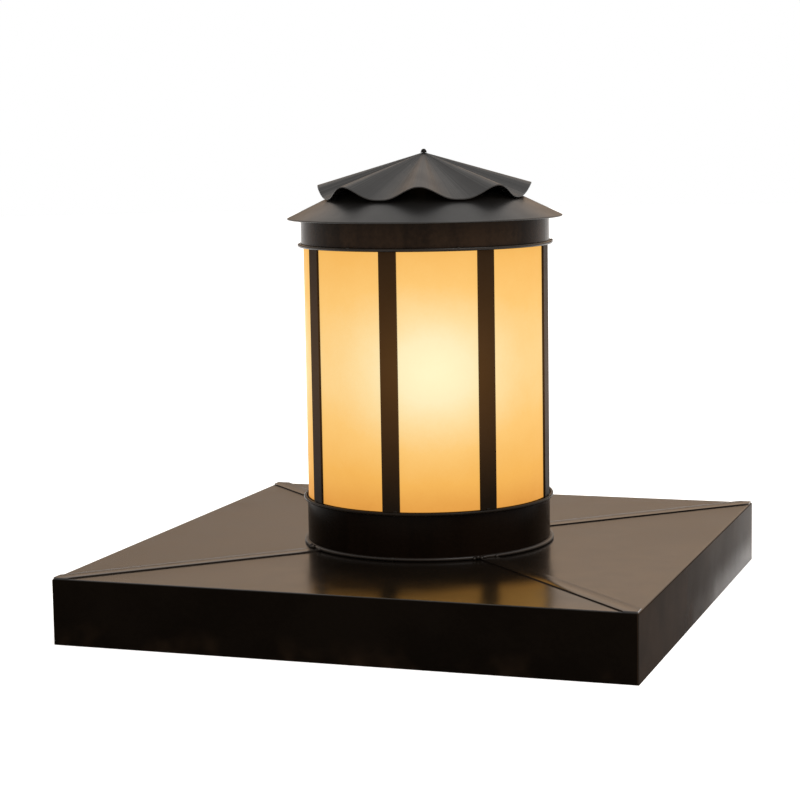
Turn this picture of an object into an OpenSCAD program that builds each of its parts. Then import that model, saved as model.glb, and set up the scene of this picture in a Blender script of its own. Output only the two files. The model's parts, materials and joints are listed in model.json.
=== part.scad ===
// Pier mount light: a flat square cap that sits on a masonry pier and carries a
// round lantern. Eight upright bars stand round a rolled amber diffuser, between
// a base band and a top band. A conical roof sits on the top band, and a fluted
// vent cap is held down on it by one threaded rod. Inside is a three-lamp cluster.
// The origin is the centre of the cap's footprint, level with the skirt's lower
// edge. +Z is up and the front faces -Y. All sizes are in millimetres.

/* [Pier cap] */
// Width of the square cap, over its skirt
cap_w = 762; // [660:1:900]
// Height of the deck above the skirt's lower edge
cap_h = 86; // [60:1:120]
// Sheet thickness of the deck and skirt
cap_t = 1.9; // [1.2:0.1:3]
// Inner radius of the fold between deck and skirt
fold_r = 0.8; // [0.5:0.1:3]
// Gap between neighbouring deck panels at a hip seam
seam_gap = 0.4; // [0.2:0.1:2]
// Width of the flat bar laid over each hip seam
hip_w = 25.4; // [15:0.1:40]
// Thickness of the flat bar laid over each hip seam
hip_t = 1.6; // [1.2:0.1:4]
// Diameter of the wiring opening in the middle of the deck
deck_hole_d = 120; // [90:1:150]
// Diameter of the circle of anchor holes
anchor_pcd = 220; // [190:1:240]
// Diameter of each anchor hole
anchor_hole_d = 11; // [8:0.5:14]

/* [Lantern body] */
// Outer diameter of the base band
band_d = 333.2; // [310:0.2:350]
// Sheet thickness of the base and top bands
band_t = 1.2; // [0.8:0.1:2]
// Height of the base band
base_band_h = 64.8; // [45:0.2:90]
// Height of the top band
top_band_h = 46; // [40:0.5:70]
// Diameter of the round wire of the beads
bead_d = 4.75; // [3:0.25:7]
// Length of the upright bars
bar_l = 339.4; // [280:0.2:400]
// Width of the upright bars
bar_w = 23.5; // [15:0.5:35]
// Thickness of the upright bars
bar_t = 3; // [2:0.1:5]
// Azimuth of the front bar
bar_az = -88.8; // [-95:0.1:-85]
// Thickness of the base plate
base_plate_t = 3; // [2:0.1:5]

/* [Diffuser] */
// Thickness of the rolled diffuser sheet
diffuser_t = 2.4; // [1.5:0.1:4]
// Play between the diffuser and the base band
diffuser_play = 0.3; // [0.2:0.05:1]
// How far the diffuser reaches into each band
diffuser_seat = 12; // [8:0.5:20]
// Width of the butt seam of the rolled sheet
diffuser_seam = 0.6; // [0.3:0.1:2]
// Sheet thickness of the clips that hold the diffuser
clip_t = 1.5; // [1:0.1:2]
// Width of the clips
clip_w = 14; // [8:1:20]
// Length of each leg of the clips
clip_leg = 11; // [8:0.5:13]

/* [Roof] */
// Overhang of the brim beyond the top band
brim = 18.8; // [12:0.2:35]
// Slope of the roof
roof_pitch = 25.6; // [20:0.2:29]
// Sheet thickness of the roof
roof_t = 1.2; // [0.8:0.1:2]
// Width of the folded hem at the brim
hem_w = 3; // [2:0.5:6]
// Diameter of the vent opening at the top of the roof, where the vent cap rests
vent_d = 180; // [140:2:210]
// Depth of the locating ring under the roof
ring_h = 10; // [6:0.5:14]
// Play between the locating ring and the top band
ring_play = 1; // [0.6:0.1:2]

/* [Fluted vent cap] */
// Length of a flute from the apex to the rim, along the sheet
flute_l = 151; // [135:1:165]
// Number of flutes
flute_count = 8; // [6:1:12]
// How much flatter a crest lies than a trough, in degrees
flute_rise = 6.8; // [4:0.1:10]
// How much flatter a trough lies than the roof, in degrees
flute_ease = 2.6; // [1:0.1:4]
// How much narrower a crest is than a trough, where 1 is an even wave
flute_bend = 1.4; // [1:0.1:2]
// Sheet thickness of the vent cap
flute_t = 1.2; // [0.8:0.1:2]
// Azimuth of the first crest
flute_az = 15.5; // [0:0.1:45]

/* [Roof rod] */
// Diameter of the threaded rod
rod_d = 4.2; // [3:0.1:5]
// Radial play of the rod in the holes it passes
rod_play = 0.4; // [0.3:0.05:0.6]
// Width of the strap that carries the rod
strap_w = 25; // [15:1:35]
// Thickness of the strap
strap_t = 3; // [2:0.1:5]
// Azimuth of the strap
strap_az = 22.5; // [15:0.5:30]
// Width of the rod's nuts across their flats
rod_nut_af = 7; // [6.6:0.1:9]
// Height of the rod's nuts
rod_nut_h = 3; // [2.4:0.1:4]

/* [Lamp cluster] */
// Outer diameter of the stem pipe
stem_d = 10.3; // [9:0.1:13]
// Bore of the stem pipe
stem_bore_d = 6.6; // [5:0.1:7]
// Height of the cluster hub above the deck
hub_lift = 110; // [70:1:140]
// Outer diameter of the cluster hub
hub_d = 66; // [60:1:80]
// Height of the cluster hub
hub_h = 20; // [14:0.5:30]
// Wall of the cluster hub and its cover
hub_t = 1.6; // [1:0.1:2]
// Tilt of each lampholder from upright, and slope of the hub's cover
lamp_tilt = 20; // [12:1:24]
// Distance of each lampholder's nipple from the stem's axis
nipple_r = 23; // [21:0.5:25]
// Outer diameter of the nipples
nipple_d = 9.6; // [8:0.1:11]
// Outer diameter of each lampholder
holder_d = 39; // [36:0.5:40]
// Height of each lampholder
holder_h = 46; // [42:0.5:55]
// Diameter of the cavity in each lampholder
holder_bore_d = 30; // [29:0.2:31.5]
// Outer diameter of the lamps' screw base
screw_d = 26; // [25.6:0.1:26.6]
// Diameter of the lamp bulb at its widest
bulb_d = 60; // [50:1:64]
// Length of a lamp over all
bulb_l = 108; // [103:1:120]
// Wall of the bulb's glass
bulb_t = 1; // [0.6:0.1:1.5]

/* [Fasteners] */
// Diameter of the studs that hold the base plate
stud_d = 5; // [4:0.5:8]
// Diameter of the circle of studs
stud_pcd = 280; // [260:1:290]
// Play of a fastener in its hole
fastener_play = 0.25; // [0.15:0.05:0.5]

/* [Hidden] */
$fn = 96;
// Clearance between pieces that are seated or welded round a curve
seat = 0.2;
// Rest gap between pieces of different moving bodies
rest_gap = 0.3;
// How far a cut runs past the face it opens
past = 1;
// Width across flats of a hexagon nut, for each millimetre of its thread
hex_ratio = 1.6;

// The pier cap
half_w = cap_w / 2;
deck_z = cap_h;
under_deck_z = deck_z - cap_t;
fold_out_r = fold_r + cap_t;
anchor_r = anchor_pcd / 2;
hip_inset = 1.5;
panel_names = ["front_panel", "right_panel", "rear_panel", "left_panel"];
hip_names = ["front_right_hip", "rear_right_hip", "rear_left_hip", "front_left_hip"];

// The lantern body, from the deck up
bar_count = 8;
band_r = band_d / 2;
band_in_r = band_r - band_t;
bead_r = bead_d / 2;
base_bead_ring_r = band_r + bead_r + seat;
base_bead_out_r = base_bead_ring_r + bead_r;
base_band_top_z = deck_z + base_band_h;
bar_top_z = base_band_top_z + bar_l;
bar_out_r = band_in_r + bar_t;
top_band_r = bar_out_r;
top_band_in_r = top_band_r - band_t;
top_band_top_z = bar_top_z + top_band_h;
base_plate_r = band_in_r - seat;
base_plate_top_z = deck_z + base_plate_t;

// The diffuser and its clips
diffuser_r = band_in_r - diffuser_play;
diffuser_in_r = diffuser_r - diffuser_t;
diffuser_low_z = base_band_top_z - diffuser_seat;
diffuser_top_z = bar_top_z + diffuser_seat;
diffuser_seam_az = bar_az + 180;
clip_count = 4;
clip_az = 45;

// The roof rests on the top band, and the vent cap rests on the edge of its opening
roof_slope = tan(roof_pitch);
roof_rise_t = roof_t / cos(roof_pitch);
brim_r = top_band_r + brim;
vent_r = vent_d / 2;
hem_t = 2 * roof_t;
ring_out_r = top_band_in_r - ring_play;
ring_in_r = ring_out_r - roof_t;
function roof_under_z(r) = top_band_top_z + rest_gap + (top_band_r - r) * roof_slope;
function roof_top_z(r) = roof_under_z(r) + roof_rise_t;
// Point of the roof's section at a radius of its upper face, and a depth square to it
function roof_point(r, depth) =
    [r - depth * sin(roof_pitch), roof_top_z(r) - depth * cos(roof_pitch)];

// The vent cap's sheet lies along straight lines from the apex, at an angle that
// swings once per flute between a crest and a trough
trough_angle = roof_pitch - flute_ease;
crest_angle = trough_angle - flute_rise;
flute_rise_t = flute_t / cos(trough_angle);
apex_z = roof_top_z(vent_r) + rest_gap + flute_rise_t + vent_r * tan(trough_angle);
flute_steps = 24;
flute_points = flute_count * flute_steps;
function flute_phase(i) = 360 * i / flute_steps;
function flute_az_of(i) = flute_az + 360 * i / flute_points;
function flute_share(i) = pow((1 + cos(flute_phase(i))) / 2, flute_bend);
function flute_angle(i) = trough_angle - flute_rise * flute_share(i);

// The rod, its strap and its nuts
rod_r = rod_d / 2;
rod_hole_r = rod_r + rod_play;
strap_leg_h = 6;
strap_drop = 3;
strap_low_z = top_band_top_z - ring_h - strap_drop - strap_leg_h - strap_t;
strap_top_z = strap_low_z + strap_t;
strap_half_l = sqrt(pow(top_band_in_r, 2) - pow(strap_w / 2, 2)) - seat;
washer_t = 0.8;
washer_r = 4.5;
washer_z = apex_z - rod_hole_r * tan(crest_angle) + seat;
cap_nut_z = washer_z + washer_t;
cap_nut_hex_h = 1.6;
cap_nut_bore_h = 3;
cap_nut_dome_r = rod_nut_af / 2;
cap_nut_dome_h = 2.8;
// Radius of the ball whose cap is as wide and high as the nut's dome
cap_nut_ball_r = (pow(cap_nut_dome_r, 2) + pow(cap_nut_dome_h, 2)) / (2 * cap_nut_dome_h);
thread_play = 0.15;
rod_tail = 4;
rod_low_z = strap_low_z - rod_nut_h - rod_tail;
rod_grip = 2.4;
rod_top_z = cap_nut_z + rod_grip;

// The stem and the cluster hub
stem_r = stem_d / 2;
stem_nut_af = hex_ratio * stem_d;
stem_nut_h = 4;
stem_tail = 1.5;
stem_washer_rim = 4;
stem_washer_r = stem_nut_af / 2 + stem_washer_rim;
stem_washer_t = 1.2;
hub_z = deck_z + hub_lift;
hub_r = hub_d / 2;
hub_top_z = hub_z + hub_h;
hub_floor_z = hub_z + hub_t;
stem_low_z = deck_z - stem_washer_t - stem_nut_h - stem_tail;
stem_top_z = hub_floor_z + stem_nut_h + stem_tail;
cover_r = hub_r + seat + hub_t;
cover_lip_h = 7;
cover_flat_r = 8;
cover_rise_t = hub_t / cos(lamp_tilt);
cover_z = hub_top_z + seat;
function cover_under_z(r) = cover_z + (cover_r - r) * tan(lamp_tilt);
cover_screw_az = 0;
cover_screw_r = 1.4;
cover_screw_head_r = 2.8;
cover_screw_head_h = 1.8;
cover_screw_z = cover_z - cover_lip_h / 2;

// Each lampholder stands square on the sloping cover. Its own axis starts where
// the nipple meets the cover, and heights on it are measured from there
lamp_count = 3;
lamp_az = 51;
holder_z = cover_under_z(nipple_r) + cover_rise_t;
nipple_hole_r = nipple_d / 2 + fastener_play;
nipple_reach = 8;
nipple_t = 1.6;
holder_r = holder_d / 2;
holder_foot_r = 13;
holder_shoulder_h = 7;
holder_floor_h = 14;
holder_bore_r = holder_bore_d / 2;
screw_shell_t = 0.6;
screw_r = screw_d / 2;
screw_shell_in_r = screw_r + rest_gap;
screw_shell_h = 26;
contact_r = 3.2;
contact_h = 3;
bulb_z = holder_floor_h + contact_h + rest_gap;
screw_base_h = 25;
screw_skirt_h = 5;
neck_r = screw_r + screw_shell_t;
neck_fillet_r = 40;

// Fasteners
stud_r = stud_d / 2;
stud_circle_r = stud_pcd / 2;
stud_az = 22.5;
stud_tail = 8;
stud_nut_af = hex_ratio * stud_d;
stud_nut_h = 0.8 * stud_d;
stud_l = base_plate_t + stud_nut_h + stud_tail;
ground_edge = 15;
ground_r = deck_hole_d / 2 - ground_edge;
ground_tail = 3;
ground_az = 300;
ground_screw_r = 2.1;
ground_head_r = 4.5;
ground_head_h = 2.6;
ground_slot_w = 1;

black = [0.17, 0.14, 0.12];
dark_steel = [0.25, 0.22, 0.2];
amber = [0.98, 0.78, 0.46];
zinc = [0.72, 0.72, 0.7];
brass = [0.8, 0.62, 0.3];
porcelain = [0.93, 0.92, 0.88];
white_glass = [0.97, 0.95, 0.9];
green = [0.1, 0.45, 0.2];

// Names of numbered nodes, such as bar_1 to bar_8
function numbered(name, n) = [for (i = [1:n]) str(name, "_", i)];

// Shared shapes

module ring(out_r, in_r, low_z, high_z) {
    rotate_extrude()
        translate([in_r, low_z])
            square([out_r - in_r, high_z - low_z]);
}

module wire_ring(ring_r, z) {
    rotate_extrude()
        translate([ring_r, z])
            circle(r = bead_r);
}

module around(count, first_az) {
    for (i = [0:count - 1])
        rotate([0, 0, first_az + 360 * i / count])
            children();
}

module hex_nut(flats, h, bore_r) {
    difference() {
        cylinder(h = h, r = flats / 2 / cos(30), $fn = 6);
        translate([0, 0, -past])
            cylinder(h = h + 2 * past, r = bore_r);
    }
}

// Moves to lamp number i, along its tilted axis
module at_lamp(i) {
    rotate([0, 0, lamp_az + 360 * i / lamp_count])
        translate([nipple_r, 0, holder_z])
            rotate([0, lamp_tilt, 0])
                children();
}

// The pier cap

// Section across the fold: the deck runs to the centre, the skirt hangs at the edge
module panel_section() {
    fold = [-half_w + fold_out_r, deck_z - fold_out_r];
    translate(fold)
        intersection() {
            difference() {
                circle(r = fold_out_r);
                circle(r = fold_r);
            }
            translate([-fold_out_r, 0])
                square(fold_out_r);
        }
    translate([fold.x, under_deck_z])
        square([-fold.x, cap_t]);
    translate([-half_w, 0])
        square([cap_t, fold.y]);
}

// One quarter of the cap, mitred at the corners and cut away over the wiring opening
module cap_panel(turn) {
    color(black)
        rotate([0, 0, 90 * turn])
            difference() {
                intersection() {
                    rotate([90, 0, 90])
                        translate([0, 0, -half_w])
                            linear_extrude(height = cap_w)
                                panel_section();
                    translate([0, -seam_gap * cos(45), -past])
                        linear_extrude(height = cap_h + 2 * past)
                            polygon([[0, 0], [-cap_w, -cap_w], [cap_w, -cap_w]]);
                }
                cylinder(h = cap_h + past, r = deck_hole_d / 2);
                translate([0, -anchor_r, 0])
                    cylinder(h = cap_h + past, r = anchor_hole_d / 2);
            }
}

// Flat bar over a hip seam, from the base bead to the corner, cut to the corner's point
module hip_bar(turn) {
    tip_r = (half_w - hip_inset) * sqrt(2);
    color(black)
        rotate([0, 0, 90 * turn - 45])
            translate([0, 0, deck_z])
                difference() {
                    linear_extrude(height = hip_t)
                        polygon([
                            [band_r, -hip_w / 2], [tip_r - hip_w / 2, -hip_w / 2], [tip_r, 0],
                            [tip_r - hip_w / 2, hip_w / 2], [band_r, hip_w / 2]
                        ]);
                    translate([0, 0, -past])
                        cylinder(h = hip_t + 2 * past, r = base_bead_out_r + seat);
                }
}

// The lantern body

// Round hole through the base plate, at a distance and azimuth from the axis
module plate_hole(r, az, hole_r) {
    rotate([0, 0, az])
        translate([r, 0, deck_z - past])
            cylinder(h = base_plate_t + 2 * past, r = hole_r);
}

module base_plate() {
    color(dark_steel)
        difference() {
            translate([0, 0, deck_z])
                cylinder(h = base_plate_t, r = base_plate_r);
            plate_hole(0, 0, stem_r + fastener_play);
            around(4, -90)
                plate_hole(anchor_r, 0, anchor_hole_d / 2);
            around(4, stud_az)
                plate_hole(stud_circle_r, 0, stud_r + fastener_play);
            plate_hole(ground_r, ground_az, ground_screw_r + thread_play);
        }
}

module base_studs() {
    color(zinc)
        around(4, stud_az)
            translate([stud_circle_r, 0, deck_z])
                cylinder(h = stud_l, r = stud_r);
}

module base_nuts() {
    color(zinc)
        around(4, stud_az)
            translate([stud_circle_r, 0, base_plate_top_z])
                hex_nut(stud_nut_af, stud_nut_h, stud_r + thread_play);
}

module ground_screw() {
    color(green)
        rotate([0, 0, ground_az])
            translate([ground_r, 0, base_plate_top_z]) {
                difference() {
                    cylinder(h = ground_head_h, r = ground_head_r, $fn = 6);
                    translate([0, 0, ground_head_h])
                        cube([3 * ground_head_r, ground_slot_w, ground_head_h], center = true);
                }
                translate([0, 0, -base_plate_t - ground_tail])
                    cylinder(h = base_plate_t + ground_tail, r = ground_screw_r);
            }
}

module base_band() {
    color(black)
        ring(band_r, band_in_r, deck_z, base_band_top_z);
}

module base_bead() {
    color(black)
        wire_ring(base_bead_ring_r, deck_z + bead_r + seat);
}

module rim_bead() {
    color(black)
        wire_ring(base_bead_ring_r, base_band_top_z - bead_r - seat);
}

module bar(i) {
    color(black)
        rotate([0, 0, bar_az + 360 * i / bar_count])
            translate([band_in_r, -bar_w / 2, base_band_top_z])
                cube([bar_t, bar_w, bar_l]);
}

module top_band() {
    color(black)
        ring(top_band_r, top_band_in_r, bar_top_z, top_band_top_z);
}

module top_bead() {
    color(black)
        wire_ring(top_band_r + bead_r + seat, bar_top_z + bead_r + seat);
}

// The rolled sheet, with its butt seam hidden behind the rear bar
module diffuser() {
    seam_deg = 2 * asin(diffuser_seam / 2 / diffuser_r);
    color(amber)
        rotate([0, 0, diffuser_seam_az + seam_deg / 2])
            rotate_extrude(angle = 360 - seam_deg)
                translate([diffuser_in_r, diffuser_low_z])
                    square([diffuser_t, diffuser_top_z - diffuser_low_z]);
}

// Bent clip against a band: a leg on the band's wall and a leg that reaches inwards.
// Its inward leg lies on z = 0 and the other hangs below it
module clip(wall_r) {
    face_r = sqrt(pow(wall_r, 2) - pow(clip_w / 2, 2)) - seat / 2;
    translate([0, -clip_w / 2, 0])
        rotate([-90, 0, 0])
            linear_extrude(height = clip_w)
                polygon([
                    [face_r, 0], [face_r, clip_leg], [face_r - clip_t, clip_leg],
                    [face_r - clip_t, clip_t], [face_r - clip_leg, clip_t], [face_r - clip_leg, 0]
                ]);
}

module diffuser_rests() {
    color(dark_steel)
        around(clip_count, clip_az)
            translate([0, 0, diffuser_low_z])
                clip(band_in_r);
}

module diffuser_keepers() {
    color(dark_steel)
        around(clip_count, clip_az)
            translate([0, 0, diffuser_top_z + rest_gap])
                mirror([0, 0, 1])
                    clip(top_band_in_r);
}

// The rod and what it holds

// Strap across the top band, its ends turned up and welded to the band
module rod_strap() {
    color(dark_steel)
        rotate([0, 0, strap_az])
            difference() {
                translate([0, strap_w / 2, 0])
                    rotate([90, 0, 0])
                        linear_extrude(height = strap_w)
                            difference() {
                                translate([-strap_half_l, strap_low_z])
                                    square([2 * strap_half_l, strap_leg_h + strap_t]);
                                translate([-strap_half_l + strap_t, strap_top_z])
                                    square([2 * (strap_half_l - strap_t), strap_leg_h + past]);
                            }
                translate([0, 0, strap_low_z - past])
                    cylinder(h = strap_t + 2 * past, r = rod_r + fastener_play);
            }
}

module roof_rod() {
    color(zinc)
        translate([0, 0, rod_low_z])
            cylinder(h = rod_top_z - rod_low_z, r = rod_r);
}

module rod_nuts() {
    color(zinc) {
        translate([0, 0, strap_low_z - rod_nut_h])
            hex_nut(rod_nut_af, rod_nut_h, rod_r + thread_play);
        translate([0, 0, strap_top_z])
            hex_nut(rod_nut_af, rod_nut_h, rod_r + thread_play);
    }
}

// Spun cone with a hem folded under at the brim and a vent opening under the fluted cap
module roof() {
    fold = roof_point(brim_r - roof_t, roof_t);
    color(black)
        rotate_extrude() {
            polygon([
                [vent_r, roof_under_z(vent_r)],
                roof_point(brim_r - hem_w, roof_t),
                roof_point(brim_r - hem_w, hem_t),
                roof_point(brim_r - roof_t, hem_t),
                roof_point(brim_r - roof_t, 0),
                [vent_r, roof_top_z(vent_r)]
            ]);
            translate(fold)
                circle(r = roof_t);
        }
}

// Hoop under the roof that drops inside the top band and centres the roof
module roof_locating_ring() {
    color(dark_steel)
        rotate_extrude()
            polygon([
                [ring_in_r, top_band_top_z - ring_h],
                [ring_out_r, top_band_top_z - ring_h],
                [ring_out_r, roof_under_z(ring_out_r) - seat],
                [ring_in_r, roof_under_z(ring_in_r) - seat]
            ]);
}

// Pressed sheet whose flutes open from the apex to the rim. Four rings of points
// close it: the upper and lower faces, each at the rod's hole and at the rim
module fluted_cap() {
    hole_ring = [
        for (i = [0:flute_points - 1])
            let(a = flute_az_of(i), z = apex_z - rod_hole_r * tan(flute_angle(i)))
                [rod_hole_r * cos(a), rod_hole_r * sin(a), z]
    ];
    rim_ring = [
        for (i = [0:flute_points - 1])
            let(a = flute_az_of(i), r = flute_l * cos(flute_angle(i)))
                [r * cos(a), r * sin(a), apex_z - flute_l * sin(flute_angle(i))]
    ];
    down = [0, 0, -flute_rise_t];
    rings = [hole_ring, rim_ring, [for (p = rim_ring) p + down], [for (p = hole_ring) p + down]];
    n = flute_points;
    color(black)
        polyhedron(
            points = [for (r = rings) each r],
            faces = [
                for (k = [0:3], i = [0:n - 1])
                    let(j = (i + 1) % n, a = k * n, b = (k + 1) % 4 * n)
                        each [[a + i, b + i, b + j], [a + i, b + j, a + j]]
            ],
            convexity = 10
        );
}

module cap_washer() {
    color(dark_steel)
        ring(washer_r, rod_hole_r, washer_z, washer_z + washer_t);
}

// Closed hexagon nut with a low dome
module cap_nut() {
    color(dark_steel)
        difference() {
            translate([0, 0, cap_nut_z]) {
                cylinder(h = cap_nut_hex_h, r = rod_nut_af / 2 / cos(30), $fn = 6);
                translate([0, 0, cap_nut_hex_h])
                    intersection() {
                        translate([0, 0, cap_nut_dome_h - cap_nut_ball_r])
                            sphere(r = cap_nut_ball_r);
                        cylinder(h = cap_nut_dome_h, r = cap_nut_dome_r);
                    }
            }
            translate([0, 0, cap_nut_z - past])
                cylinder(h = cap_nut_bore_h + past, r = rod_r + thread_play);
        }
}

// The lamp cluster

module stem() {
    color(zinc)
        ring(stem_r, stem_bore_d / 2, stem_low_z, stem_top_z);
}

module stem_washers() {
    color(zinc) {
        ring(stem_washer_r, stem_r + fastener_play, deck_z - stem_washer_t, deck_z);
        ring(stem_washer_r, stem_r + fastener_play, base_plate_top_z, base_plate_top_z + stem_washer_t);
    }
}

module stem_locknuts() {
    color(zinc)
        for (z = [
            deck_z - stem_washer_t - stem_nut_h, base_plate_top_z + stem_washer_t,
            hub_z - stem_nut_h, hub_floor_z
        ])
            translate([0, 0, z])
                hex_nut(stem_nut_af, stem_nut_h, stem_r + thread_play);
}

module cluster_hub() {
    color(dark_steel)
        rotate_extrude()
            polygon([
                [stem_r + fastener_play, hub_z], [hub_r, hub_z], [hub_r, hub_top_z],
                [hub_r - hub_t, hub_top_z], [hub_r - hub_t, hub_floor_z],
                [stem_r + fastener_play, hub_floor_z]
            ]);
}

// Cover with a lip over the hub and a sloping top that faces the lampholders
module hub_cover() {
    color(dark_steel)
        difference() {
            rotate_extrude()
                polygon([
                    [cover_r, cover_z - cover_lip_h],
                    [cover_r, cover_under_z(cover_r) + cover_rise_t],
                    [cover_flat_r, cover_under_z(cover_flat_r) + cover_rise_t],
                    [0, cover_under_z(cover_flat_r) + cover_rise_t],
                    [0, cover_under_z(cover_flat_r)],
                    [cover_flat_r, cover_under_z(cover_flat_r)],
                    [cover_r - hub_t, cover_under_z(cover_r - hub_t)],
                    [cover_r - hub_t, cover_z - cover_lip_h]
                ]);
            for (i = [0:lamp_count - 1])
                at_lamp(i)
                    translate([0, 0, -nipple_reach])
                        cylinder(h = 2 * nipple_reach, r = nipple_hole_r);
            around(2, cover_screw_az)
                translate([hub_r, 0, cover_screw_z])
                    rotate([0, 90, 0])
                        cylinder(h = hub_t + seat + past, r = cover_screw_r + fastener_play);
        }
}

// Small screws that bear on the hub through the cover's lip
module cover_screws() {
    color(zinc)
        around(2, cover_screw_az)
            translate([hub_r + seat / 2, 0, cover_screw_z])
                rotate([0, 90, 0]) {
                    cylinder(h = hub_t + seat, r = cover_screw_r);
                    translate([0, 0, hub_t + seat])
                        cylinder(h = cover_screw_head_h, r = cover_screw_head_r);
                }
}

module holder_nipples() {
    color(zinc)
        for (i = [0:lamp_count - 1])
            at_lamp(i)
                translate([0, 0, -nipple_reach])
                    difference() {
                        cylinder(h = 2 * nipple_reach - seat, r = nipple_d / 2);
                        translate([0, 0, -past])
                            cylinder(h = 2 * nipple_reach + 2 * past, r = nipple_d / 2 - nipple_t);
                    }
}

module lampholder(i) {
    color(porcelain)
        at_lamp(i)
            rotate_extrude()
                polygon([
                    [nipple_hole_r, seat], [holder_foot_r, seat], [holder_r, holder_shoulder_h],
                    [holder_r, holder_h], [holder_bore_r, holder_h], [holder_bore_r, holder_floor_h],
                    [0, holder_floor_h], [0, nipple_reach], [nipple_hole_r, nipple_reach]
                ]);
}

module screw_shell(i) {
    out_r = screw_shell_in_r + screw_shell_t;
    color(brass)
        at_lamp(i)
            rotate_extrude()
                polygon([
                    [contact_r + 3, holder_floor_h], [out_r, holder_floor_h],
                    [out_r, holder_floor_h + screw_shell_h],
                    [screw_shell_in_r, holder_floor_h + screw_shell_h],
                    [screw_shell_in_r, holder_floor_h + screw_shell_t],
                    [contact_r + 3, holder_floor_h + screw_shell_t]
                ]);
}

module holder_contacts() {
    color(brass)
        for (i = [0:lamp_count - 1])
            at_lamp(i)
                translate([0, 0, holder_floor_h])
                    cylinder(h = contact_h, r = contact_r);
}

module bulb_base(i) {
    color(zinc)
        at_lamp(i)
            translate([0, 0, bulb_z])
                rotate_extrude()
                    polygon([
                        [0, 0], [4, 0], [5, 1], [screw_r - 3, screw_skirt_h - 1],
                        [screw_r, screw_skirt_h], [screw_r, screw_base_h], [0, screw_base_h]
                    ]);
}

// Half outline of a bulb: a ball, a straight neck and the arc that joins them
module bulb_outline(ball_r, stem_half_w, arc_r) {
    ball_z = bulb_l - bulb_d / 2;
    arc_x = stem_half_w + arc_r;
    arc_z = ball_z - sqrt(pow(ball_r + arc_r, 2) - pow(arc_x, 2));
    meet = ball_r / (ball_r + arc_r);
    difference() {
        union() {
            intersection() {
                translate([0, ball_z])
                    circle(r = ball_r);
                translate([0, ball_z - ball_r])
                    square([ball_r, 2 * ball_r]);
            }
            polygon([
                [0, screw_base_h], [stem_half_w, screw_base_h], [stem_half_w, arc_z],
                [arc_x * meet, ball_z - (ball_z - arc_z) * meet], [0, ball_z]
            ]);
        }
        translate([arc_x, arc_z])
            circle(r = arc_r);
    }
}

module bulb_glass(i) {
    color(white_glass)
        at_lamp(i)
            translate([0, 0, bulb_z])
                rotate_extrude()
                    difference() {
                        bulb_outline(bulb_d / 2, neck_r, neck_fillet_r);
                        bulb_outline(bulb_d / 2 - bulb_t, neck_r - bulb_t, neck_fillet_r + bulb_t);
                    }
}

for (i = [0:3]) {
    cap_panel(i);
    hip_bar(i);
}
base_plate();
base_studs();
base_nuts();
ground_screw();
base_band();
base_bead();
rim_bead();
diffuser();
diffuser_rests();
diffuser_keepers();
for (i = [0:bar_count - 1])
    bar(i);
top_band();
top_bead();
rod_strap();
roof_rod();
rod_nuts();
roof();
roof_locating_ring();
fluted_cap();
cap_washer();
cap_nut();
stem();
stem_washers();
stem_locknuts();
cluster_hub();
hub_cover();
cover_screws();
holder_nipples();
holder_contacts();
for (i = [0:lamp_count - 1]) {
    lampholder(i);
    screw_shell(i);
    bulb_base(i);
    bulb_glass(i);
}
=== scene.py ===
"""Looks of the pier mount light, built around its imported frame.

Metres, in the frame's own axes: +X to the right, +Y to the rear, +Z up, with the
origin under the middle of the cap.
"""
import json
import math

import bpy
from mathutils import Matrix, Vector

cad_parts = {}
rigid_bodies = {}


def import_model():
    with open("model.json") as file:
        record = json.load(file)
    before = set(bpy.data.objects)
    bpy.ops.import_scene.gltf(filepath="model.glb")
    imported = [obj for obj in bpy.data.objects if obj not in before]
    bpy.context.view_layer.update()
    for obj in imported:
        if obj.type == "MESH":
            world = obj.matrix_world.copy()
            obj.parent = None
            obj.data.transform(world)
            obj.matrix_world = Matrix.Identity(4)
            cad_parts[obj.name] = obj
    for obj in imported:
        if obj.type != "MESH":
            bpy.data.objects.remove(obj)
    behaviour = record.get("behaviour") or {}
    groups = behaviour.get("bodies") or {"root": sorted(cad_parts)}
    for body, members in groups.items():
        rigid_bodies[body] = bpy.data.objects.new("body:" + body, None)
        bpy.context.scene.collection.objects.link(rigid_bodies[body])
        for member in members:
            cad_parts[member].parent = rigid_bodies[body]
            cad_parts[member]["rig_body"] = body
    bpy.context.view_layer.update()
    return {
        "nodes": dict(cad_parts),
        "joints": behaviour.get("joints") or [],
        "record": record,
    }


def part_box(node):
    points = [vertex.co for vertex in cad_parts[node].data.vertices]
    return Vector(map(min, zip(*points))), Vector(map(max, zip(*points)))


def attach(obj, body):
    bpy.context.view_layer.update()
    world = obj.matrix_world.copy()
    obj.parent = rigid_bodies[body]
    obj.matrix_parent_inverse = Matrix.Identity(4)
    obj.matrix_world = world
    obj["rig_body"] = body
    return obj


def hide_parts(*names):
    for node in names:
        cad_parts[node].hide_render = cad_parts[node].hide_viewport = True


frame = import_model()

MM = 0.001


def ring_of(name):
    """A round bead's ring radius, mid height and wire radius, from its CAD box."""
    low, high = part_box(name)
    wire = (high[2] - low[2]) / 2
    return high[0] - wire, (high[2] + low[2]) / 2, wire


# Rings and levels of the frame that the details follow
DECK_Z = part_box("base_plate")[0][2]
CAP_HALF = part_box("right_panel")[1][0]
BASE_BAND_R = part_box("base_band")[1][0]
TOP_BAND_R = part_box("top_band")[1][0]
BAR_FOOT_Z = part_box("bar_2")[0][2]
BASE_BEAD, RIM_BEAD, TOP_BEAD = ring_of("base_bead"), ring_of("rim_bead"), ring_of("top_bead")
RIGHT_SKIRT_X = CAP_HALF - 2 * MM

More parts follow.
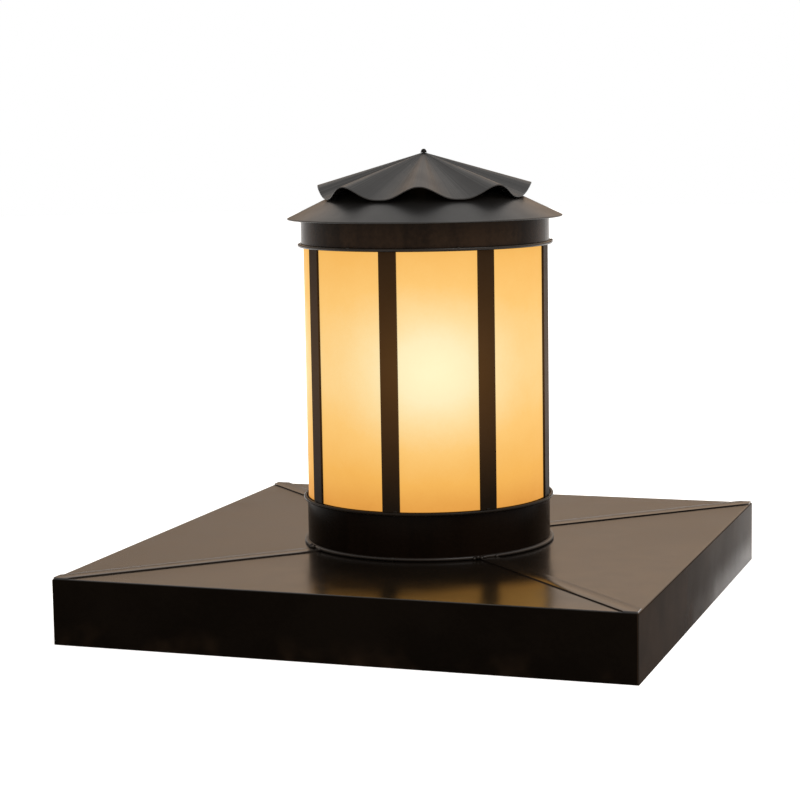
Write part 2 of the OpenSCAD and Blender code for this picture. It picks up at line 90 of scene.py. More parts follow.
# Azimuths in degrees
FIRST_BAR_AZ = -88.8
BAR_AZ = [FIRST_BAR_AZ + 45 * i for i in range(8)]
CORNERS = {"front_right": -45, "rear_right": 45, "rear_left": 135, "front_left": 225}

# The panels' outer fold radius, the gap of their mitres and how deep its solder goes, upright and on the deck
FOLD_R = 2.7 * MM
SEAM_GAP = 0.4 * MM
SEAM_DEPTH = 1.9 * MM
SEAM_TOP_DEPTH = 1.3 * MM
SEAM_STEP = 15


# Camera: the photograph's viewing angle

YAW, PITCH, ROLL = (math.radians(a) for a in (19.108, 7.257, -0.942))
CAMERA_AT = Vector((0.9239, -2.7815, 0.6513))
FOCAL_PX = 2154.9
IMAGE_PX = 800
SENSOR_MM = 36


def make_camera():
    """Places the camera from its yaw, pitch and roll."""
    level = Vector((math.cos(YAW), math.sin(YAW), 0))
    ahead = Vector((-math.sin(YAW) * math.cos(PITCH), math.cos(YAW) * math.cos(PITCH), -math.sin(PITCH)))
    up = level.cross(ahead)
    right = math.cos(ROLL) * level + math.sin(ROLL) * up
    up = math.cos(ROLL) * up - math.sin(ROLL) * level
    data = bpy.data.cameras.new("camera")
    data.sensor_width = SENSOR_MM
    data.lens = SENSOR_MM * FOCAL_PX / IMAGE_PX
    data.clip_end = 60
    camera = bpy.data.objects.new("camera", data)
    turn = Matrix((right, up, -ahead)).transposed().to_4x4()
    camera.matrix_world = Matrix.Translation(CAMERA_AT) @ turn
    bpy.context.scene.collection.objects.link(camera)
    bpy.context.scene.camera = camera


# Node trees

def node(tree, kind, inputs=None, **settings):
    """Adds one node. An input is a plain value or another node's output socket."""
    made = tree.nodes.new(kind)
    for name, value in settings.items():
        setattr(made, name, value)
    for name, value in (inputs or {}).items():
        if isinstance(value, bpy.types.NodeSocket):
            tree.links.new(value, made.inputs[name])
        else:
            made.inputs[name].default_value = value
    return made


def maths(tree, operation, a, b=0.0, c=0.0, clamp=False):
    """One Math node's output."""
    inputs = {i: v for i, v in enumerate((a, b, c))}
    return node(tree, "ShaderNodeMath", inputs, operation=operation, use_clamp=clamp).outputs[0]


def remap(tree, value, low, high, to_low=0.0, to_high=1.0, smooth=True):
    """A Map Range node's output, eased at both ends unless smooth is off."""
    kind = "SMOOTHSTEP" if smooth else "LINEAR"
    inputs = {"Value": value, "From Min": low, "From Max": high, "To Min": to_low, "To Max": to_high}
    return node(tree, "ShaderNodeMapRange", inputs, interpolation_type=kind).outputs["Result"]


def axes(tree, place):
    """The X, Y and Z outputs of a point."""
    return node(tree, "ShaderNodeSeparateXYZ", {"Vector": place}).outputs


def noise(tree, place, scale, detail=3.0, rough=0.55):
    """Noise from 0 to 1 over the object's own coordinates. Scale is in waves a metre."""
    inputs = {"Vector": place, "Scale": scale, "Detail": detail, "Roughness": rough}
    return node(tree, "ShaderNodeTexNoise", inputs).outputs["Fac"]


def ramp(tree, value, stops):
    """A colour ramp's output. Stops are (place, (r, g, b))."""
    made = node(tree, "ShaderNodeValToRGB", {"Fac": value})
    points = made.color_ramp.elements
    while len(points) < len(stops):
        points.new(0.5)
    for point, (place, colour) in zip(points, stops):
        point.position = place
        point.color = (*colour, 1)
    return made.outputs["Color"]


def blend_colours(tree, share, a, b):
    """Colour a at share 0 and b at share 1."""
    made = node(tree, "ShaderNodeMix", data_type="RGBA")
    for socket, value in ((made.inputs[0], share), (made.inputs[6], a), (made.inputs[7], b)):
        if isinstance(value, bpy.types.NodeSocket):
            tree.links.new(value, socket)
        else:
            socket.default_value = value if isinstance(value, float) else (*value, 1)
    return made.outputs[2]


SOCKETS = {"base": "Base Color", "rough": "Roughness", "metal": "Metallic", "ior": "IOR", "coat": "Coat Weight",
           "coat_rough": "Coat Roughness", "specular": "Specular IOR Level", "emission": "Emission Strength"}


def new_material(name, **values):
    """A material with one Principled shader. Values go straight on its own sockets."""
    made = bpy.data.materials.new(name)
    made.use_nodes = True
    tree = made.node_tree
    shader = tree.nodes["Principled BSDF"]
    for key, value in values.items():
        shader.inputs[SOCKETS[key]].default_value = (*value, 1) if isinstance(value, tuple) else value
    place = node(tree, "ShaderNodeTexCoord").outputs["Object"]
    return made, tree, shader, place


def bump(tree, shader, height, strength, depth):
    """Joins a height to the shader's normal. Depth is in metres."""
    inputs = {"Height": height, "Strength": strength, "Distance": depth}
    tree.links.new(node(tree, "ShaderNodeBump", inputs).outputs["Normal"], shader.inputs["Normal"])


def cap_edge(tree, place):
    """Distance in metres to the nearest folded edge or corner of the pier cap."""
    x, y, z = axes(tree, place)
    x, y = maths(tree, "ABSOLUTE", x), maths(tree, "ABSOLUTE", y)
    out = maths(tree, "ABSOLUTE", maths(tree, "SUBTRACT", CAP_HALF, maths(tree, "MAXIMUM", x, y)))
    down = maths(tree, "ABSOLUTE", maths(tree, "SUBTRACT", DECK_Z, z))
    fold = maths(tree, "SQRT", maths(tree, "ADD", maths(tree, "POWER", out, 2.0), maths(tree, "POWER", down, 2.0)))
    across = maths(tree, "ABSOLUTE", maths(tree, "SUBTRACT", x, y))
    corner = maths(tree, "ADD", across, maths(tree, "MULTIPLY", out, 4.0))
    return maths(tree, "MINIMUM", fold, corner)


# Slight bends of the flat sheets: heights in metres, and curvatures of the hip bars, which fall more at the front
DECK_WAVE = 1.0 * MM
DECK_DROOP = 9.5 * MM
HIP_CROWN = -1.3
HIP_FRONT_FALL = -2.1


def deck_camber(tree, place):
    """Height in metres of the deck sheets: all wave slightly, and the front one droops towards its fold,
    more to the right than to the left."""
    x, y, _ = axes(tree, place)
    front = maths(tree, "MULTIPLY", y, -1.0)
    own = maths(tree, "GREATER_THAN", front, maths(tree, "ABSOLUTE", x))
    share = maths(tree, "MULTIPLY", own, remap(tree, x, 0.0, 0.20, 0.08, 1.0))
    droop = maths(tree, "MULTIPLY", remap(tree, front, 0.20, 0.40, 0.0, -DECK_DROOP), share)
    return maths(tree, "MULTIPLY_ADD", noise(tree, place, 5, 1), DECK_WAVE, droop)


def hip_camber(tree, place):
    """Height in metres of a hip bar's rolled crown, which falls more to the front on the front bars."""
    x, y, _ = axes(tree, place)
    across = maths(tree, "SUBTRACT", maths(tree, "ABSOLUTE", x), maths(tree, "ABSOLUTE", y))
    front = maths(tree, "MULTIPLY", maths(tree, "LESS_THAN", y, 0.0), maths(tree, "LESS_THAN", across, 0.0))
    bend = maths(tree, "MULTIPLY_ADD", front, HIP_FRONT_FALL, HIP_CROWN)
    return maths(tree, "MULTIPLY", maths(tree, "MULTIPLY", across, across), bend)


# Specular levels of the panels, and the colour of the dust on them, which also paints a warm reflection on the right
# skirt
SKIRT_SHINE = 0.0009
DECK_SHINE = 0.5
DUST_AND_REFLECTION = (0.0200, 0.0125, 0.0078)


def deck_gloss(tree, place):
    """Specular level of a folded panel: glossy on the deck and nearly matt below the fold. The right skirt
    is polished more towards the rear, most of all in a patch along its lower edge."""
    x, y, z = axes(tree, place)
    wander = maths(tree, "MULTIPLY_ADD", noise(tree, place, 8, 3), 0.30, -0.15)
    rear = remap(tree, maths(tree, "ADD", y, wander), -CAP_HALF, CAP_HALF, smooth=False)
    low = remap(tree, z, 0.0, 50 * MM, 1.0, 0.0)
    patch = maths(tree, "MULTIPLY", low, remap(tree, rear, 0.34, 0.76, 0.0, 2.7))
    patch = maths(tree, "MULTIPLY", patch, remap(tree, rear, 0.84, 1.10, 1.0, 0.45))
    polish = maths(tree, "ADD", patch, maths(tree, "MULTIPLY", maths(tree, "MULTIPLY", rear, rear), 2.0))
    polish = maths(tree, "MULTIPLY", polish, maths(tree, "GREATER_THAN", x, RIGHT_SKIRT_X))
    skirt = maths(tree, "MULTIPLY", maths(tree, "EXPONENT", polish), SKIRT_SHINE)
    share = remap(tree, z, DECK_Z - 1.2 * MM, DECK_Z - 0.3 * MM)
    return maths(tree, "ADD", maths(tree, "MULTIPLY", maths(tree, "SUBTRACT", 1.0, share), skirt),
                 maths(tree, "MULTIPLY", share, DECK_SHINE))


def round_axis(tree, place):
    """A point's flat direction from the upright axis, for marks that run up the walls or out along the cap."""
    flat = node(tree, "ShaderNodeVectorMath", {0: place, 1: (1.0, 1.0, 0.0)}, operation="MULTIPLY").outputs["Vector"]
    return node(tree, "ShaderNodeVectorMath", {0: flat}, operation="NORMALIZE").outputs["Vector"]


def cap_creases(tree, place):
    """Height in metres of the fine creases that run from the vent cap's middle to its rim."""
    return maths(tree, "MULTIPLY", noise(tree, round_axis(tree, place), 11, 3, 0.7), 0.0012)


def skirt_dust_and_reflection(tree, place):
    """Share of the brown colour: dust in soft patches along the skirt's lower edge, and a painted warm reflection as
    a thin film all over its right side.
    """
    x, _, z = axes(tree, place)
    low = remap(tree, z, 4 * MM, 38 * MM, 0.55, 0.0)
    patches = maths(tree, "MULTIPLY", low, remap(tree, noise(tree, place, 11, 3), 0.47, 0.68))
    # Painted reflection: only the skirt's right side is browned, for a warm reflection.
    painted_reflection = maths(tree, "MULTIPLY", maths(tree, "GREATER_THAN", x, RIGHT_SKIRT_X),
                 remap(tree, noise(tree, place, 14, 3), 0.30, 0.70, 0.55, 1.0))
    below = maths(tree, "LESS_THAN", z, DECK_Z - 1 * MM)
    return maths(tree, "MAXIMUM", patches, maths(tree, "MULTIPLY", painted_reflection, below))


def paint(name, dark, light, rough, ior, uneven=0.02, edge_highlight=None, edges=None, sheen=None, camber=None, brown_dust_and_reflection=None,
          glow=None, upright=False):
    """Sprayed lacquer: cloudy tone, slightly uneven gloss and fine orange peel. A few finishes add a painted
    highlight along the folded edges, a specular level of their own, a bend of the sheet, dust with a painted warm
    reflection, or painted light from the diffuser."""
    made, tree, shader, place = new_material(name, ior=ior)
    cloud = noise(tree, round_axis(tree, place), 3.5, 3) if upright else noise(tree, place, 9, 4)
    fine = noise(tree, place, 170, 3)
    tone = remap(tree, maths(tree, "ADD", maths(tree, "MULTIPLY", cloud, 0.75), maths(tree, "MULTIPLY", fine, 0.25)),
                 0.36, 0.64)
    colour = blend_colours(tree, tone, dark, light)
    gloss = remap(tree, noise(tree, place, 26, 4, 0.6), 0.3, 0.7, rough - uneven, rough + uneven)
    if sheen:
        tree.links.new(sheen(tree, place), shader.inputs["Specular IOR Level"])
    # Dust, and a painted warm reflection on the right skirt.
    if brown_dust_and_reflection:
        colour = blend_colours(tree, brown_dust_and_reflection(tree, place), colour, DUST_AND_REFLECTION)
    # Painted highlight: a pale colour along the folded edges and corners, a little rougher there.
    if edge_highlight:
        distance = edges(tree, place)
        ragged = maths(tree, "MULTIPLY", noise(tree, place, 240, 3), 0.9 * MM)
        highlight_share = remap(tree, maths(tree, "ADD", distance, ragged), 0.9 * MM, 1.9 * MM, 1.0, 0.0)
        colour = blend_colours(tree, highlight_share, colour, edge_highlight)
        gloss = maths(tree, "ADD", gloss, maths(tree, "MULTIPLY", highlight_share, 0.08))
    tree.links.new(colour, shader.inputs["Base Color"])
    tree.links.new(gloss, shader.inputs["Roughness"])
    peel = maths(tree, "ADD", maths(tree, "MULTIPLY", noise(tree, place, 620, 2), 0.7),
                 maths(tree, "MULTIPLY", noise(tree, place, 75, 3), 0.5))
    peel = maths(tree, "MULTIPLY", peel, 0.009 * MM)
    if camber:
        peel = maths(tree, "ADD", peel, camber(tree, place))
    bump(tree, shader, peel, 1.0, 1.0)
    # Painted light: the part glows by emission.
    if glow:
        tree.links.new(glow(tree, place), shader.inputs["Emission Color"])
        shader.inputs["Emission Strength"].default_value = 1.0
    return made


# Light that the lamps give to the diffuser

LAMP_AXES = [Vector(j["axis"]) for j in frame["joints"] if j["name"].endswith("_draw")]

# Where each lamp's glow is centred, the distance at which it gives 1, and how much an upright distance counts
GLOW_R = 100 * MM
GLOW_Z = 331 * MM
GLOW_UNIT = 110 * MM
GLOW_TALL = 0.90
# Gain and offset of the lamps' sum, and the gain with each metre above the middle height
GLOW_GAIN, GLOW_OFFSET = 0.395, -0.100
GLOW_RISE, GLOW_MIDDLE_Z = 0.22, 0.32


def lamp_glow(tree, place):
    """How strongly the lamps light a point of the diffuser's face, about 0.35 to 1."""
    place = node(tree, "ShaderNodeVectorMath", {0: place, 1: (1.0, 1.0, GLOW_TALL)},
                 operation="MULTIPLY").outputs["Vector"]
    total = None
    for axis in LAMP_AXES:
        flat = Vector((axis.x, axis.y, 0)).normalized()
        at = (flat.x * GLOW_R, flat.y * GLOW_R, GLOW_Z * GLOW_TALL)
        away = node(tree, "ShaderNodeVectorMath", {0: place, 1: at}, operation="DISTANCE").outputs["Value"]
        one = maths(tree, "DIVIDE", GLOW_UNIT, maths(tree, "MAXIMUM", away, 0.01))
        total = one if total is None else maths(tree, "ADD", total, one)
    above = maths(tree, "SUBTRACT", axes(tree, place)["Z"], GLOW_MIDDLE_Z * GLOW_TALL)
    upper = maths(tree, "MULTIPLY", above, GLOW_RISE / GLOW_TALL)
    return maths(tree, "ADD", maths(tree, "MULTIPLY_ADD", total, GLOW_GAIN, GLOW_OFFSET), upper)


# The sheet's colours from its darkest to its brightest glow, and those of the light painted on the bars
AMBER = [
    (0.30, (0.62, 0.26, 0.045)), (0.36, (0.78, 0.355, 0.068)), (0.48, (0.905, 0.475, 0.105)),
    (0.60, (0.97, 0.590, 0.185)), (0.72, (0.985, 0.735, 0.350)), (0.84, (0.985, 0.870, 0.530)),
    (0.96, (0.99, 0.960, 0.610)),
]
BAR_PAINTED_LIGHT = [(0.0, (0.004, 0.0022, 0.0009)), (0.55, (0.056, 0.024, 0.006)), (1.0, (0.105, 0.046, 0.010))]


def make_diffuser():
    """The lit amber sheet: its colours follow the lamps' glow, with soft clouds, fine flecks and a painted shade at
    its foot.
    """
    made, tree, shader, place = new_material("amber_diffuser", base=(0.06, 0.028, 0.007), ior=1.15, specular=0.12,
                                             emission=0.955)
    glow = lamp_glow(tree, place)
    cloud = maths(tree, "SUBTRACT", noise(tree, place, 17, 5, 0.6), 0.5)
    fleck = maths(tree, "SUBTRACT", noise(tree, place, 260, 2), 0.5)
    glow = maths(tree, "ADD", glow, maths(tree, "MULTIPLY", cloud, 0.075))
    glow = maths(tree, "ADD", glow, maths(tree, "MULTIPLY", fleck, 0.025))
    # Painted shade: the glow dims over the sheet's lowest 40 mm, above the base band.
    rim_shade = remap(tree, axes(tree, place)["Z"], BAR_FOOT_Z, BAR_FOOT_Z + 40 * MM, -0.06, -0.012)
    glow = maths(tree, "ADD", glow, rim_shade)
    tree.links.new(ramp(tree, glow, AMBER), shader.inputs["Emission Color"])
    gloss = remap(tree, noise(tree, place, 30, 3), 0.3, 0.7, 0.36, 0.5)
    tree.links.new(gloss, shader.inputs["Roughness"])
    bump(tree, shader, noise(tree, place, 420, 2), 0.12, 0.06 * MM)
    return made


def painted_bar_light(tree, place):
    """Painted light: warm emission on the upright bars, for the light that spills onto them from the lit sheet."""
    spill = remap(tree, lamp_glow(tree, place), 0.42, 1.0, 0.0, 1.0, smooth=False)
    return ramp(tree, spill, BAR_PAINTED_LIGHT)


def make_metal(name, colour, rough, spangle, ior=1.5):
    """Bare or plated metal, with uneven polish."""
    made, tree, shader, place = new_material(name, metal=1.0, ior=ior)
    pale = tuple(min(1.0, c * 1.15) for c in colour)
    tone = remap(tree, noise(tree, place, spangle, 3), 0.35, 0.65)
    tree.links.new(blend_colours(tree, tone, colour, pale), shader.inputs["Base Color"])
    gloss = remap(tree, noise(tree, place, spangle * 2, 4), 0.3, 0.7, rough - 0.06, rough + 0.08)
    tree.links.new(gloss, shader.inputs["Roughness"])
    bump(tree, shader, noise(tree, place, 900, 2), 0.1, 0.03 * MM)
    return made


def make_porcelain():
    """Glazed white porcelain, slightly wavy."""
    made, tree, shader, place = new_material("porcelain", rough=0.14, ior=1.5, coat=0.4, coat_rough=0.06)
    tone = remap(tree, noise(tree, place, 60, 3), 0.35, 0.65)
    tree.links.new(blend_colours(tree, tone, (0.80, 0.775, 0.72), (0.88, 0.86, 0.82)), shader.inputs["Base Color"])
    bump(tree, shader, noise(tree, place, 120, 2), 0.08, 0.1 * MM)
    return made


def make_bulb_glass():
    """Frosted white glass, lit."""
    made, tree, shader, place = new_material("bulb_glass", base=(0.28, 0.26, 0.23), rough=0.35, ior=1.5,
                                             emission=0.74)
    warm = remap(tree, noise(tree, place, 40, 2), 0.3, 0.7)
    tree.links.new(blend_colours(tree, warm, (1.0, 0.80, 0.50), (1.0, 0.88, 0.64)), shader.inputs["Emission Color"])
    bump(tree, shader, noise(tree, place, 700, 2), 0.05, 0.03 * MM)
    return made


def make_materials():
    """One material for each group of nodes, by node name."""
    # The panels' pale edge colour is a painted highlight on the folds.
    deck = paint("panel_paint", (0.0032, 0.0024, 0.0017), (0.0044, 0.0033, 0.0024), 0.205, 1.45,
                 edge_highlight=(0.02, 0.018, 0.016), edges=cap_edge, sheen=deck_gloss, camber=deck_camber, brown_dust_and_reflection=skirt_dust_and_reflection)
    hips = paint("hip_paint", (0.0050, 0.0038, 0.0028), (0.0070, 0.0053, 0.0039), 0.19, 1.45, camber=hip_camber)
    bands = paint("band_paint", (0.0080, 0.0046, 0.0024), (0.0230, 0.0135, 0.0075), 0.21, 1.13, upright=True)
    # Painted shade: the base band has the top band's paint, made darker.
    base = paint("base_band_shaded_paint", (0.0030, 0.0018, 0.0010), (0.0052, 0.0031, 0.0018), 0.21, 1.08, upright=True)
    bars = paint("bar_paint", (0.0050, 0.0034, 0.0022), (0.0080, 0.0056, 0.0038), 0.36, 1.08, glow=painted_bar_light)
    beads = paint("bead_paint", (0.0060, 0.0045, 0.0034), (0.0110, 0.0083, 0.0064), 0.22, 1.3)
    rim = paint("rim_bead_paint", (0.0050, 0.0035, 0.0024), (0.0090, 0.0065, 0.0046), 0.26, 1.16)
    roof = paint("roof_paint", (0.0034, 0.0032, 0.0030), (0.0052, 0.0049, 0.0046), 0.35, 1.45, uneven=0.03)
    cap = paint("vent_cap_paint", (0.0040, 0.0037, 0.0034), (0.0064, 0.0059, 0.0055), 0.38, 1.40, uneven=0.03,
                camber=cap_creases)
    nut = paint("nut_paint", (0.0040, 0.0036, 0.0032), (0.0060, 0.0055, 0.0050), 0.45, 1.2)
    seam = paint("seam_paint", (0.0036, 0.0027, 0.0019), (0.0060, 0.0046, 0.0034), 0.40, 1.05)
    inner = paint("inner_paint", (0.040, 0.032, 0.026), (0.062, 0.052, 0.044), 0.45, 1.4)
    zinc = make_metal("plated_steel", (0.52, 0.52, 0.50), 0.34, 140)
    green = make_metal("ground_green", (0.03, 0.26, 0.085), 0.32, 200)
    brass = make_metal("brass_parts", (0.70, 0.50, 0.23), 0.26, 160)
    tin = make_metal("bulb_cap_metal", (0.70, 0.70, 0.69), 0.30, 180)
    china = make_porcelain()
    bulb = make_bulb_glass()
    sheet = make_diffuser()
    by_slot = {"body_paint": bands, "roof_paint": roof, "inner_paint": inner, "plated_steel": zinc,
               "ground_green": green, "brass_parts": brass, "porcelain": china, "bulb_cap_metal": tin,
               "bulb_glass": bulb, "amber_diffuser": sheet}
    by_ending = {"_panel": deck, "_hip": hips, "_bead": beads, "base_band": base, "rim_bead": rim,
                 "fluted_cap": cap, "cap_nut": nut, "cap_washer": cap}
    chosen = {}
    for part in frame["record"]["subparts"]:
        name = part["node"]
        chosen[name] = by_slot[part["material_slot"]]
        for ending, made in by_ending.items():
            if name.endswith(ending):
                chosen[name] = made
        if name.startswith("bar_"):
            chosen[name] = bars
    return chosen, {"bead": beads, "rim": rim, "zinc": zinc, "tin": tin, "seam": seam}


# Small made pieces

def make_mesh(name, points, faces, made, slot="body_paint", body="lantern", smooth=True):
    """A mesh object that rides on a CAD body and takes the given material. The slot is not used."""
    mesh = bpy.data.meshes.new(name)
    mesh.from_pydata(points, [], faces)
    mesh.validate()
    mesh.materials.append(made)
    mesh.polygons.foreach_set("use_smooth", [smooth] * len(mesh.polygons))
    piece = bpy.data.objects.new(name, mesh)
    bpy.context.scene.collection.objects.link(piece)
    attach(piece, body)
    return piece


def spun(section, steps=288):
    """Points and faces of a closed ring. The section's points are (radius, height), counter-clockwise."""
    points, faces = [], []
    count = len(section)
    for step in range(steps):
        turn = math.tau * step / steps
        points += [(r * math.cos(turn), r * math.sin(turn), z) for r, z in section]
        here, there = step * count, (step + 1) % steps * count
        faces += [(here + i, there + i, there + (i + 1) % count, here + (i + 1) % count) for i in range(count)]
    return points, faces


def wall_fillet(bead, wall_r, up):
    """Section of the paint and solder that fills the crevice between a bead and the wall behind it."""
    ring, z, wire = bead
    sign = 1 if up else -1
    bite = 0.12 * MM
    on_wire = [(ring + (wire - bite) * math.cos(math.radians(a)),
                z + sign * (wire - bite) * math.sin(math.radians(a))) for a in (178, 160, 142, 128)]
    lip = (ring + wire * math.cos(math.radians(122)), z + sign * wire * math.sin(math.radians(122)))
    top = (wall_r - bite, z + sign * 1.02 * wire)
    middle = (wall_r + 0.22 * (lip[0] - wall_r), z + sign * 0.88 * wire)
    section = [(wall_r - bite, z), *on_wire, lip, middle, top]
    return section[::-1] if up else section


def lump(at, radii, azimuth, seed, rings=9, sides=14):
    """Points and faces of one uneven drop. The radii are along the wall, out from it and up."""
    turn = math.radians(azimuth)
    out, along = Vector((math.cos(turn), math.sin(turn), 0)), Vector((-math.sin(turn), math.cos(turn), 0))
    points, faces = [], []
    for ring in range(rings + 1):
        fall = math.pi * ring / rings
        for side in range(sides):
            way = math.tau * side / sides
            size = 1 + 0.10 * math.sin(3 * way + seed) * math.sin(fall) + 0.07 * math.cos(2 * fall + 1.7 * seed)
            spot = (Vector(at) + along * (radii[0] * size * math.sin(fall) * math.cos(way))
                    + out * (radii[1] * size * math.sin(fall) * math.sin(way))
                    + Vector((0, 0, radii[2] * size * math.cos(fall))))
            points.append(tuple(spot))
    for ring in range(rings):
        for side in range(sides):
            a, b = ring * sides + side, ring * sides + (side + 1) % sides
            faces.append((a, a + sides, b + sides, b))
    return points, faces


def drops(name, spots, made):
    """One piece of several drops. Each spot is (radius, azimuth, height, radii in mm)."""
    points, faces = [], []
    for i, (radius, azimuth, height, radii) in enumerate(spots):
        turn = math.radians(azimuth)
        more, sides = lump((radius * math.cos(turn), radius * math.sin(turn), height),
                           tuple(r * MM for r in radii), azimuth, 1.3 * i + 0.4)
        faces += [tuple(index + len(points) for index in face) for face in sides]
        points += more
    return make_mesh(name, points, faces, made)


def corner_seam(azimuth):
    """Points and faces of the solder that closes one mitre of the skirt, from its lower edge up over the fold."""
    turn = math.radians(azimuth)
    out, across = Vector((math.cos(turn), math.sin(turn), 0)), Vector((-math.sin(turn), math.cos(turn), 0))
    tip = CAP_HALF * math.sqrt(2) - SEAM_GAP / 2
    path = [(tip, 0.4 * MM)]
    for degrees in range(0, 91, SEAM_STEP):
        bend = math.radians(degrees)
        path.append((tip - math.sqrt(2) * FOLD_R * (1 - math.cos(bend)), DECK_Z - FOLD_R * (1 - math.sin(bend))))
    points, faces = [], []
    for i, (reach, z) in enumerate(path):
        sink = math.radians(max(0, i - 1) * SEAM_STEP)
        outer = (reach - 0.06 * MM, z - 0.02 * MM)
        inner = (reach - SEAM_DEPTH * math.cos(sink), z - SEAM_TOP_DEPTH * math.sin(sink))
        for (r, height), side in ((outer, -1), (outer, 1), (inner, 1), (inner, -1)):
            points.append(tuple(out * r + across * (side * SEAM_GAP * 0.6) + Vector((0, 0, height))))
    for i in range(len(path) - 1):
        faces += [(4 * i + a, 4 * i + b, 4 * i + 4 + b, 4 * i + 4 + a) for a, b in ((0, 1), (1, 2), (2, 3), (3, 0))]
    last = 4 * (len(path) - 1)
    faces += [(3, 2, 1, 0), (last, last + 1, last + 2, last + 3)]
    return points, faces


def threaded(name, plain_name, axis, outline, pitch, depth, made, slot, sides=24):
    """A screw-threaded piece in place of a plain round CAD node, cut inward from the node's own walls.

    The outline's points are (distance along the axis from the low end, radius, share of the thread's depth)."""
    plain = frame["nodes"][plain_name]
    axis = Vector(axis).normalized()
    across = axis.orthogonal().normalized()
    other = axis.cross(across)
    spots = [v.co for v in plain.data.vertices]
    low = min(p.dot(axis) for p in spots)
    middle = [(min(p.dot(way) for p in spots) + max(p.dot(way) for p in spots)) / 2 for way in (across, other)]
    start = axis * low + across * middle[0] + other * middle[1]
    rows = []
    for (t0, r0, c0), (t1, r1, c1) in zip(outline, outline[1:]):
        count = max(1, round((t1 - t0) / pitch * 7)) if c0 + c1 > 0 else 1
        rows += [(t0 + (t1 - t0) * i / count, r0 + (r1 - r0) * i / count, c0 + (c1 - c0) * i / count)
                 for i in range(count)]
    rows.append(outline[-1])
    points, faces = [], []
    for along, radius, cut in rows:
        for side in range(sides):
            turn = math.tau * side / sides
            groove = (1 - math.cos(math.tau * (along / pitch - side / sides))) / 2
            reach = radius - depth * cut * groove
            spot = start + axis * along + (across * math.cos(turn) + other * math.sin(turn)) * reach
            points.append(tuple(spot))
    for row in range(len(rows) - 1):
        for side in range(sides):
            a, b = row * sides + side, row * sides + (side + 1) % sides
            faces.append((a, b, b + sides, a + sides))
    faces.append(tuple(range(sides))[::-1])
    faces.append(tuple(len(points) - sides + side for side in range(sides)))
    piece = make_mesh(name, points, faces, made, slot=slot, body=plain["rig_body"])
    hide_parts(plain_name)


def make_threads(shared):
    """Cut threads on the roof rod and rolled threads on the lamps' screw bases."""
    low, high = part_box("roof_rod")
    reach, radius = high[2] - low[2], (high[0] - low[0]) / 2
    end = 0.5 * MM
    outline = [(0, radius - end, 0), (end, radius, 0.4), (2 * end, radius, 1), (reach - 2 * end, radius, 1),
               (reach - end, radius, 0.4), (reach, radius - end, 0)]
    threaded("roof_rod_thread", "roof_rod", (0, 0, 1), outline, 0.8 * MM, 0.36 * MM, shared["zinc"], "plated_steel")
    outline = [(t * MM, r * MM, cut) for t, r, cut in (
        (0, 3.9, 0), (0.1, 4, 0), (1, 5, 0), (4, 10, 0), (5, 13, 0), (6, 13, 1), (21.5, 13, 1), (23, 13, 0),
        (25, 13, 0))]
    for joint in frame["joints"]:
        if joint["name"].endswith("_draw"):
            number = joint["name"].split("_")[1]
            threaded("bulb_thread_" + number, "bulb_base_" + number, joint["axis"], outline, 3.6 * MM, 0.9 * MM,
                     shared["tin"], "bulb_cap_metal", sides=48)


def make_details(shared):
    """Fillets of paint beside the wire beads, the small welds at the beads and bars, and the skirt's solder."""
    bead, rim = shared["bead"], shared["rim"]
    fillets = {
        "top_bead_fillet": wall_fillet(TOP_BEAD, TOP_BAND_R, True),
        "rim_bead_fillet": wall_fillet(RIM_BEAD, BASE_BAND_R, False),
        "base_bead_fillet": wall_fillet(BASE_BEAD, BASE_BAND_R, True),
    }
    for name, section in fillets.items():
        make_mesh(name, *spun(section), rim if name.startswith("rim") else bead)
    feet = [(BASE_BAND_R + 1.4 * MM, az + (1.9, -0.5, 1.2, -1.6)[i % 4], BAR_FOOT_Z + 0.5 * MM, (2.6, 1.5, 1.5))
            for i, az in enumerate(BAR_AZ)]
    drops("bar_foot_tacks", feet, rim)
    ring, z, _ = TOP_BEAD
    tacks = [(ring + 0.3 * MM, az, z + 1.6 * MM, (2.8, 2.1, 1.6)) for az in (-107.3, -57.2, 18, 74, 131, 186)]
    drops("top_bead_tacks", tacks, bead)
    ring, z, _ = BASE_BEAD
    welds = [(ring, -88.2, z, (2.2, 2.9, 2.75))]
    for corner in CORNERS.values():
        welds += [(ring + 2.2 * MM, corner + a, z + h * MM, size) for a, h, size in (
            (-6.8, -0.5, (2.6, 3.1, 2.6)), (-5.2, 0.6, (3.3, 3.6, 2.7)), (-3.6, -0.2, (2.6, 4.2, 2.6)),
            (-2.0, 0.4, (3.2, 3.3, 2.5)), (4.2, -0.5, (2.5, 2.8, 2.2)))]
    drops("base_bead_welds", welds, bead)
    for name, azimuth in CORNERS.items():
        make_mesh(name + "_corner_seam", *corner_seam(azimuth), shared["seam"], smooth=False)


# Studio

WARM = (1.0, 0.71, 0.49)
PEAK = 1.3
KEY_AT = Vector((1.5, -0.9, 2.6))
KEY_TARGET = Vector((0, 0, 0.25))


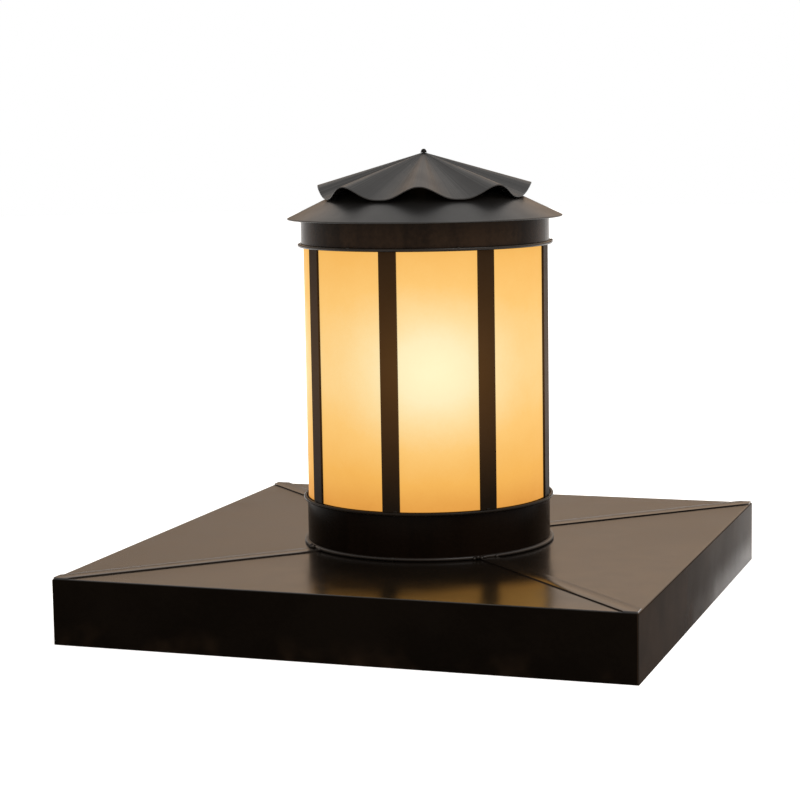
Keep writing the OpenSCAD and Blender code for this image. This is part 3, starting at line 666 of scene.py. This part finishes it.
def make_world():
    """One studio for every ray: a white cove up to just over the horizon, then a dim warm band where the
    room's walls stand, then a pale sky that is a little brighter on the right."""
    world = bpy.data.worlds.new("studio")
    bpy.context.scene.world = world
    world.use_nodes = True
    tree = world.node_tree
    tree.nodes.clear()
    place = node(tree, "ShaderNodeTexCoord").outputs["Generated"]
    height = maths(tree, "MAXIMUM", axes(tree, place)["Z"], 0.0)
    side = axes(tree, round_axis(tree, place))["X"]

    def level(share, tint=WARM):
        """A tint at a share of white, before the studio's strength."""
        return tuple(share * c / PEAK for c in tint)

    rise = ramp(tree, height, [
        (0.000, level(1.0, (1, 1, 1))), (0.062, level(1.0, (1, 1, 1))), (0.080, level(0.45)), (0.100, level(0.22)),
        (0.150, level(0.20)), (0.170, level(0.34)), (0.185, level(0.56)), (0.205, level(0.82)), (0.240, level(1.02)),
        (0.32, level(1.06, (1.0, 0.75, 0.56))), (0.55, level(1.03, (1.0, 0.95, 0.90))), (1.0, level(1.0, (1, 1, 1)))])
    left = remap(tree, height, 0.24, 0.40, remap(tree, side, -0.52, -0.28, 0.72, 1.0), 1.0)
    lean = remap(tree, height, 0.095, 0.14, 1.0, maths(tree, "ADD", left, remap(tree, side, 0.0, 1.0, 0.0, 0.7)))
    strength = maths(tree, "MULTIPLY", lean, PEAK)
    studio = node(tree, "ShaderNodeBackground", {"Color": rise, "Strength": strength})
    node(tree, "ShaderNodeOutputWorld", {"Surface": studio.outputs[0]})


def make_floor():
    """A plain pale floor that keeps the soft shadow under the cap."""
    made, tree, shader, _ = new_material("floor_pale", base=(0.82, 0.82, 0.82), rough=0.9, specular=0.0)
    path = node(tree, "ShaderNodeLightPath")
    seen = maths(tree, "MAXIMUM", path.outputs["Is Camera Ray"],
                 maths(tree, "MAXIMUM", path.outputs["Is Glossy Ray"], path.outputs["Is Transmission Ray"]))
    shader.inputs["Emission Color"].default_value = (1, 1, 1, 1)
    tree.links.new(maths(tree, "MULTIPLY", seen, 0.5), shader.inputs["Emission Strength"])
    bpy.ops.mesh.primitive_circle_add(vertices=96, radius=14, fill_type="NGON", location=(0, 0, -0.4 * MM))
    floor = bpy.context.object
    floor.name = "floor"
    floor.data.materials.append(made)


def make_key_light():
    """A square soft box over the front right, which faces the lantern."""
    data = bpy.data.lights.new("key_light", "AREA")
    data.shape = "SQUARE"
    data.size = 1.6
    data.energy = 24
    lamp = bpy.data.objects.new("key_light", data)
    lamp.location = KEY_AT
    lamp.rotation_euler = (KEY_TARGET - KEY_AT).to_track_quat("-Z", "Y").to_euler()
    bpy.context.scene.collection.objects.link(lamp)


make_camera()
make_world()
make_floor()
make_key_light()

chosen, shared = make_materials()
for name, made in chosen.items():
    piece = frame["nodes"][name]
    if not piece.material_slots:
        piece.data.materials.append(made)
    for slot in piece.material_slots:
        slot.material = made

make_details(shared)
make_threads(shared)

bpy.context.scene.view_settings.view_transform = "Standard"
